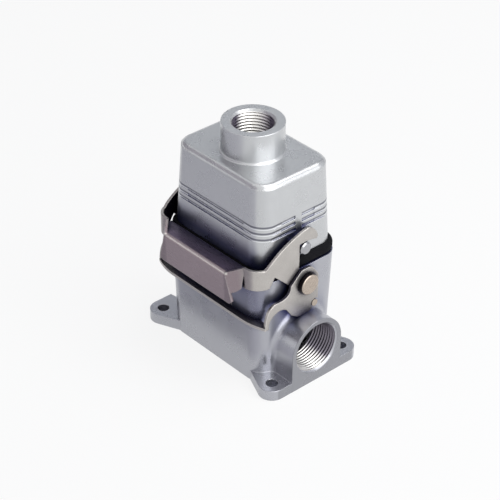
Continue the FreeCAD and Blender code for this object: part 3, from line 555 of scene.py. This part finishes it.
def rubber(name):
    """Black moulded rubber with a dusty bloom."""
    n = Nodes(name)
    bloom = n.noise(n.objects(), size=2.5, detail=5.0)
    fine = n.noise(n.objects(), size=0.3)
    return n.surface({"Base Color": n.mix(bloom, RUBBER_BLACK, RUBBER_BLOOM), "Specular IOR Level": 0.12,
                      "Roughness": n.dull(bloom, 0.7, 0.9), "Normal": n.bump(fine, 0.02 * MM)})


def moulded_plastic(name, color):
    """Glass filled moulding with a faint mottle."""
    n = Nodes(name)
    mottle = n.noise(n.objects(), size=1.2, detail=5.0)
    return n.surface({"Base Color": n.mix(mottle, tone(color, 0.92), tone(color, 1.06)),
                      "Roughness": n.dull(mottle, 0.42, 0.58),
                      "Normal": n.bump(mottle, 0.02 * MM, n.rounded(TURNED_EDGE))})


def cut_metal(name, color, middle, radius, lying):
    """Freshly cut die casting with fine tool marks and painted shade.

    A lying bore has painted shade but for its lower part towards -Y, an upright one at two opposite sides.
    Middle is the bore's middle and radius its radius, both in metres.
    """
    n = Nodes(name)
    marks = n.noise(n.objects(), size=0.5, detail=4.0)
    base = n.mix(marks, tone(color, 0.85), tone(color, 1.08))
    x, y, z = n.place()
    r = radius / MM
    # Painted shade on the bore's wall: the upper part of a lying bore, two opposite sides of an upright one
    if lying:
        slanting = n.math("ADD", n.math("SUBTRACT", z, middle[2] / MM), n.math("MULTIPLY", y, 0.6))
        base = n.cover(base, n.span(slanting, -0.8 * r, -0.35 * r), most=0.85, color=BORE_PAINTED_SHADE)
    else:
        across = n.math("ADD", n.math("MULTIPLY", x, 0.67), n.math("MULTIPLY", y, 0.74))
        base = n.cover(base, n.span(n.math("ABSOLUTE", across), 0.5 * r, 0.8 * r), most=0.93, color=BORE_PAINTED_SHADE)
    return n.surface({"Base Color": base, "Metallic": 1.0, "Roughness": n.dull(marks, 0.3, 0.42),
                      "Normal": n.bump(marks, 0.01 * MM)})


def dress(material, *names):
    """Give CAD nodes a material."""
    for name in names:
        slots = frame["nodes"][name].data.materials
        slots.clear()
        slots.append(material)


# Surfaces

def grid_object(name, points, material, body):
    """Object from points[i, j], a grid that is closed both ways, its faces turned outwards."""
    rows, columns = points.shape[:2]
    index = np.arange(rows * columns).reshape(rows, columns)
    ahead = np.roll(index, -1, axis=0)
    faces = np.stack([index, np.roll(index, -1, axis=1), np.roll(ahead, -1, axis=1), ahead], axis=-1)
    mesh = bpy.data.meshes.new(name)
    mesh.from_pydata(points.reshape(-1, 3), [], faces.reshape(-1, 4))
    mesh.polygons.foreach_set("use_smooth", np.ones(len(mesh.polygons), bool))
    mesh.materials.append(material)
    mesh.update()
    made = bpy.data.objects.new(name, mesh)
    bpy.context.scene.collection.objects.link(made)
    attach(made, body)
    return made


def thread_sleeve(name, start, axis, across, radius, length, sizes, material):
    """Thread of a bore as a closed ring.

    With turn a and height h, the inner wall stands at radius - gap - depth * tooth(h / pitch - a / 2 pi),
    where tooth is a clipped triangle wave that fades out over half a pitch at both ends. The outer wall is a
    plain cylinder close to the bore's wall, and the grid closes over both ends.
    """
    along = int(length / sizes.pitch * POINTS_PER_PITCH)
    a = np.linspace(0, 2 * np.pi, POINTS_AROUND, endpoint=False)[:, None]
    h = np.linspace(0, length, along)[None, :]
    phase = (h / sizes.pitch - a / (2 * np.pi)) % 1.0
    tooth = np.clip(TOOTH_SLOPE * (1 - np.abs(2 * phase - 1)) - TOOTH_DIP, 0, 1)
    fade = np.clip(np.minimum(h, length - h) / (sizes.pitch / 2), 0, 1)
    inner = radius - CREST_GAP - sizes.depth * tooth * fade
    outer = np.full_like(inner, radius - WALL_GAP)
    r = np.concatenate([inner, outer[:, ::-1]], axis=1)
    height = np.concatenate([h, h[:, ::-1]], axis=1)
    axis = np.array(axis, float)
    across = np.array(across, float)
    third = np.cross(axis, across)
    points = (np.array(start)[None, None, :] + height[..., None] * axis
              + (r * np.cos(a))[..., None] * across + (r * np.sin(a))[..., None] * third)
    return grid_object(name, points, material, "connector")


# Operators

class CONNECTOR_OT_stage(bpy.types.Operator):
    """Camera at the photo's angle, pale floor and soft lights"""
    bl_idname = "connector.stage"
    bl_label = "Studio stage"

    def execute(self, context):
        setup = context.scene.connector_stage
        self.camera(context, setup)
        self.floor(context, setup)
        self.world(context)
        for lamp in LAMPS:
            self.lamp(context, *lamp)
        for card in CARDS:
            self.card(context, *card)
        context.scene.view_settings.view_transform = "Standard"
        return {"FINISHED"}

    def camera(self, context, setup):
        data = bpy.data.cameras.new("Camera")
        data.sensor_width = 36.0
        data.lens = setup.lens
        data.clip_start = 0.05
        data.clip_end = 20.0
        camera = bpy.data.objects.new("Camera", data)
        context.scene.collection.objects.link(camera)
        a, e, r = setup.azimuth, setup.elevation, setup.roll
        back = Vector((math.sin(a) * math.cos(e), -math.cos(a) * math.cos(e), math.sin(e)))
        right = Vector((math.cos(a), math.sin(a), 0))
        up = back.cross(right)
        across = right * math.cos(r) + up * math.sin(r)
        upward = up * math.cos(r) - right * math.sin(r)
        turn = Matrix((across, upward, back)).transposed().to_4x4()
        camera.matrix_world = Matrix.Translation(Vector(setup.place)) @ turn
        context.scene.camera = camera

    def floor(self, context, setup):
        """Pale floor that keeps the shadow, looks near white and is dark under the fixing holes."""
        n = Nodes("Pale floor")
        path = n.add("ShaderNodeLightPath").outputs
        straight = n.math("MAXIMUM", path["Is Camera Ray"], path["Is Transmission Ray"])
        seen = n.math("MAXIMUM", n.math("MULTIPLY", straight, FLOOR_SEEN_WHITE),
                      n.math("MULTIPLY", path["Is Glossy Ray"], FLOOR_MIRRORED_WHITE))
        beside = self.beside_holes(n)
        speckle = n.noise(n.objects(), size=8.0)
        color = n.mix(speckle, tone(setup.floor_color, 0.985), setup.floor_color)
        color = n.mix(beside, self.under_holes(n), color)
        plain = n.add("ShaderNodeBsdfDiffuse", {"Color": color})
        white = n.add("ShaderNodeEmission", {"Color": WHITE, "Strength": 1.0})
        blend = n.add("ShaderNodeMixShader", {0: n.math("MULTIPLY", seen, beside), 1: plain.outputs[0],
                                              2: white.outputs[0]})
        n.tree.links.new(blend.outputs[0], n.out.inputs["Surface"])
        corners = [(-1, -1), (1, -1), (1, 1), (-1, 1)]
        floor = self.sheet(context, "Floor", [(x * FLOOR_HALF, y * FLOOR_HALF, 0) for x, y in corners],
                           n.material)
        floor.location.z = -FLOOR_DROP

    def beside_holes(self, n):
        """0 on the floor under the fixing holes, where only shade is seen, and 1 elsewhere."""
        holes = {m["name"]: m for m in frame["record"]["mounts"]}["fixing_holes"]["dims"]
        place = n.add("ShaderNodeVectorMath", {0: n.objects()}, operation="ABSOLUTE").outputs["Vector"]
        middle = (holes["spacing_x_mm"] / 2, holes["spacing_y_mm"] / 2, 0)
        reach = n.add("ShaderNodeVectorMath", {0: place, 1: middle}, operation="DISTANCE").outputs["Value"]
        return n.math("GREATER_THAN", reach, holes["hole_r_mm"] + HOLE_MARGIN)

    def under_holes(self, n):
        """Grey of the floor under the fixing holes, lighter towards the front right one."""
        x, y, _ = n.place()
        nearer = n.math("SUBTRACT", n.math("MULTIPLY", x, 0.35), y)
        return n.mix(n.span(nearer, *HOLE_SHADE_SPAN), HOLE_SHADE, HOLE_SHADE_FRONT)

    def card(self, context, name, corners, color):
        """Card that is seen only in reflections."""
        n = Nodes(name)
        cloth = n.noise(n.objects(), size=20.0)
        paint = n.add("ShaderNodeBsdfDiffuse", {"Color": n.mix(cloth, tone(color, 0.8), tone(color, 1.2))})
        n.tree.links.new(paint.outputs[0], n.out.inputs["Surface"])
        card = self.sheet(context, name, corners, n.material)
        card.visible_camera = False
        card.visible_diffuse = False
        card.visible_shadow = False

    def sheet(self, context, name, corners, material):
        """Flat sheet with four corners."""
        mesh = bpy.data.meshes.new(name)
        mesh.from_pydata(corners, [], [(0, 1, 2, 3)])
        mesh.materials.append(material)
        sheet = bpy.data.objects.new(name, mesh)
        context.scene.collection.objects.link(sheet)
        return sheet

    def world(self, context):
        """Soft room light, seen as white by the camera, in mirrors and through glass."""
        world = bpy.data.worlds.new("Studio")
        world.use_nodes = True
        context.scene.world = world
        tree = world.node_tree
        tree.nodes.clear()
        out = tree.nodes.new("ShaderNodeOutputWorld")
        room = tree.nodes.new("ShaderNodeBackground")
        room.inputs["Color"].default_value = ROOM_COLOR
        room.inputs["Strength"].default_value = ROOM_STRENGTH
        white = tree.nodes.new("ShaderNodeBackground")
        white.inputs["Color"].default_value = WHITE
        path = tree.nodes.new("ShaderNodeLightPath")
        rays = [path.outputs[k] for k in ("Is Camera Ray", "Is Glossy Ray", "Is Transmission Ray")]
        seen = rays[0]
        for ray in rays[1:]:
            either = tree.nodes.new("ShaderNodeMath")
            either.operation = "MAXIMUM"
            tree.links.new(seen, either.inputs[0])
            tree.links.new(ray, either.inputs[1])
            seen = either.outputs[0]
        blend = tree.nodes.new("ShaderNodeMixShader")
        tree.links.new(seen, blend.inputs[0])
        tree.links.new(room.outputs[0], blend.inputs[1])
        tree.links.new(white.outputs[0], blend.inputs[2])
        tree.links.new(blend.outputs[0], out.inputs["Surface"])

    def lamp(self, context, name, place, size, power):
        """Square area lamp that shines at the part's middle."""
        data = bpy.data.lights.new(name, "AREA")
        data.shape = "SQUARE"
        data.size = size
        data.energy = power
        lamp = bpy.data.objects.new(name, data)
        lamp.location = place
        aim = Vector(LOOK_AT) - Vector(place)
        lamp.rotation_mode = "QUATERNION"
        lamp.rotation_quaternion = aim.to_track_quat("-Z", "Y")
        context.scene.collection.objects.link(lamp)


class CONNECTOR_OT_castings(bpy.types.Operator):
    """Paint the hood and the housing"""
    bl_idname = "connector.castings"
    bl_label = "Cast shells"

    def execute(self, context):
        finish = context.scene.connector_cast
        dress(hood_paint(finish), "hood_shell")
        dress(housing_paint(finish), "housing_shell")
        return {"FINISHED"}


class CONNECTOR_OT_seal(bpy.types.Operator):
    """Black rubber of the mating seal"""
    bl_idname = "connector.seal"
    bl_label = "Mating seal"

    def execute(self, context):
        dress(rubber("Seal rubber"), "mating_seal")
        return {"FINISHED"}


class CONNECTOR_OT_sheet_pieces(bpy.types.Operator):
    """Plated sheet of the locking lever and the lower bail"""
    bl_idname = "connector.sheet_pieces"
    bl_label = "Lever and bail"

    def execute(self, context):
        finish = context.scene.connector_sheet
        dress(lever_sheet("Lever sheet", finish), "locking_lever")
        bail = plated_sheet("Bail sheet", finish.color, finish, open_share=0.95, shut_share=0.6, edge_highlight=0.9)
        dress(bail, "lower_bail")
        return {"FINISHED"}


class CONNECTOR_OT_turned_pieces(bpy.types.Operator):
    """Pegs, rivets, spacers and studs"""
    bl_idname = "connector.turned_pieces"
    bl_label = "Pegs and rivets"

    def execute(self, context):
        finish = context.scene.connector_turned
        dress(turned_metal("Peg plating", finish.peg_color, finish.roughness), *both("hood_peg"))
        rivet = rivet_plating("Rivet plating", finish.rivet_color, finish.roughness, "pivot_rivet_right")
        dress(rivet, *both("pivot_rivet"))
        dress(turned_metal("Stud plating", finish.rivet_color, finish.roughness), *both("stop_stud"))
        dress(turned_metal("Spacer steel", tone(finish.peg_color, 0.6), 0.35), *both("pivot_spacer"))
        return {"FINISHED"}


class CONNECTOR_OT_inserts(bpy.types.Operator):
    """Plastic insert bodies with their contacts, screws and earth plates"""
    bl_idname = "connector.inserts"
    bl_label = "Contact inserts"

    def execute(self, context):
        turned = context.scene.connector_turned
        sheet = context.scene.connector_sheet
        plastic = moulded_plastic("Insert plastic", INSERT_GREY)
        dress(plastic, "female_insert_body", "male_insert_body")
        contacts = turned_metal("Contact plating", CONTACT_PLATING, 0.22)
        dress(contacts, "socket_contacts", "pin_contacts")
        screws = turned_metal("Screw plating", tone(turned.peg_color, 0.85), 0.28)
        for side in ("female", "male"):
            dress(screws, side + "_terminal_screws", side + "_insert_screws", side + "_earth_screws")
        earth = plated_sheet("Earth plate sheet", EARTH_SHEET, sheet)
        dress(earth, "female_earth_plates", "male_earth_plates")
        return {"FINISHED"}


class CONNECTOR_OT_threads(bpy.types.Operator):
    """Cut threads in the side entry and the top entry"""
    bl_idname = "connector.threads"
    bl_label = "Entry threads"

    def execute(self, context):
        sizes = context.scene.connector_thread
        self.thread("side_entry", "side_thread", (0, 1, 0), True, sizes, "cast_housing")
        self.thread("top_entry", "top_thread", (1, 0, 0), False, sizes, "cast_hood")
        return {"FINISHED"}

    def thread(self, entry, piece, across, lying, sizes, slot):
        """Thread over the whole bore of an entry, whose middle the mount gives."""
        mount = {m["name"]: m for m in frame["record"]["mounts"]}[entry]
        length = mount["dims"]["length_mm"] * MM
        radius = mount["dims"]["r_mm"] * MM
        axis = Vector(mount["axis"])
        start = Vector(mount["pos_m"]) - axis * (length / 2)
        metal = cut_metal(piece + "_metal", sizes.color, mount["pos_m"], radius, lying)
        thread_sleeve(piece, start, axis, across, radius, length, sizes, metal)


# Panel

class CONNECTOR_PT_panel(bpy.types.Panel):
    """Steps and finishes of the connector"""
    bl_idname = "CONNECTOR_PT_panel"
    bl_label = "Connector"
    bl_space_type = "VIEW_3D"
    bl_region_type = "UI"
    bl_category = "Connector"

    def draw(self, context):
        for step in STEPS:
            self.layout.operator(step.bl_idname, text=step.bl_label)
        for group, target in GROUPS.items():
            settings = getattr(context.scene, target)
            box = self.layout.box()
            for key in group.__annotations__:
                box.prop(settings, key)


GROUPS = {
    CastFinish: "connector_cast",
    SheetFinish: "connector_sheet",
    TurnedFinish: "connector_turned",
    ThreadSizes: "connector_thread",
    StageSetup: "connector_stage",
}
STEPS = (CONNECTOR_OT_stage, CONNECTOR_OT_castings, CONNECTOR_OT_seal, CONNECTOR_OT_sheet_pieces,
         CONNECTOR_OT_turned_pieces, CONNECTOR_OT_inserts, CONNECTOR_OT_threads)


def register():
    for group, target in GROUPS.items():
        bpy.utils.register_class(group)
        setattr(bpy.types.Scene, target, bpy.props.PointerProperty(type=group))
    for cls in (*STEPS, CONNECTOR_PT_panel):
        bpy.utils.register_class(cls)


def unregister():
    for cls in reversed((*STEPS, CONNECTOR_PT_panel)):
        bpy.utils.unregister_class(cls)
    for group, target in reversed(GROUPS.items()):
        delattr(bpy.types.Scene, target)
        bpy.utils.unregister_class(group)


def main():
    register()
    for step in STEPS:
        family, name = step.bl_idname.split(".")
        getattr(getattr(bpy.ops, family), name)()


if __name__ == "__main__":
    main()
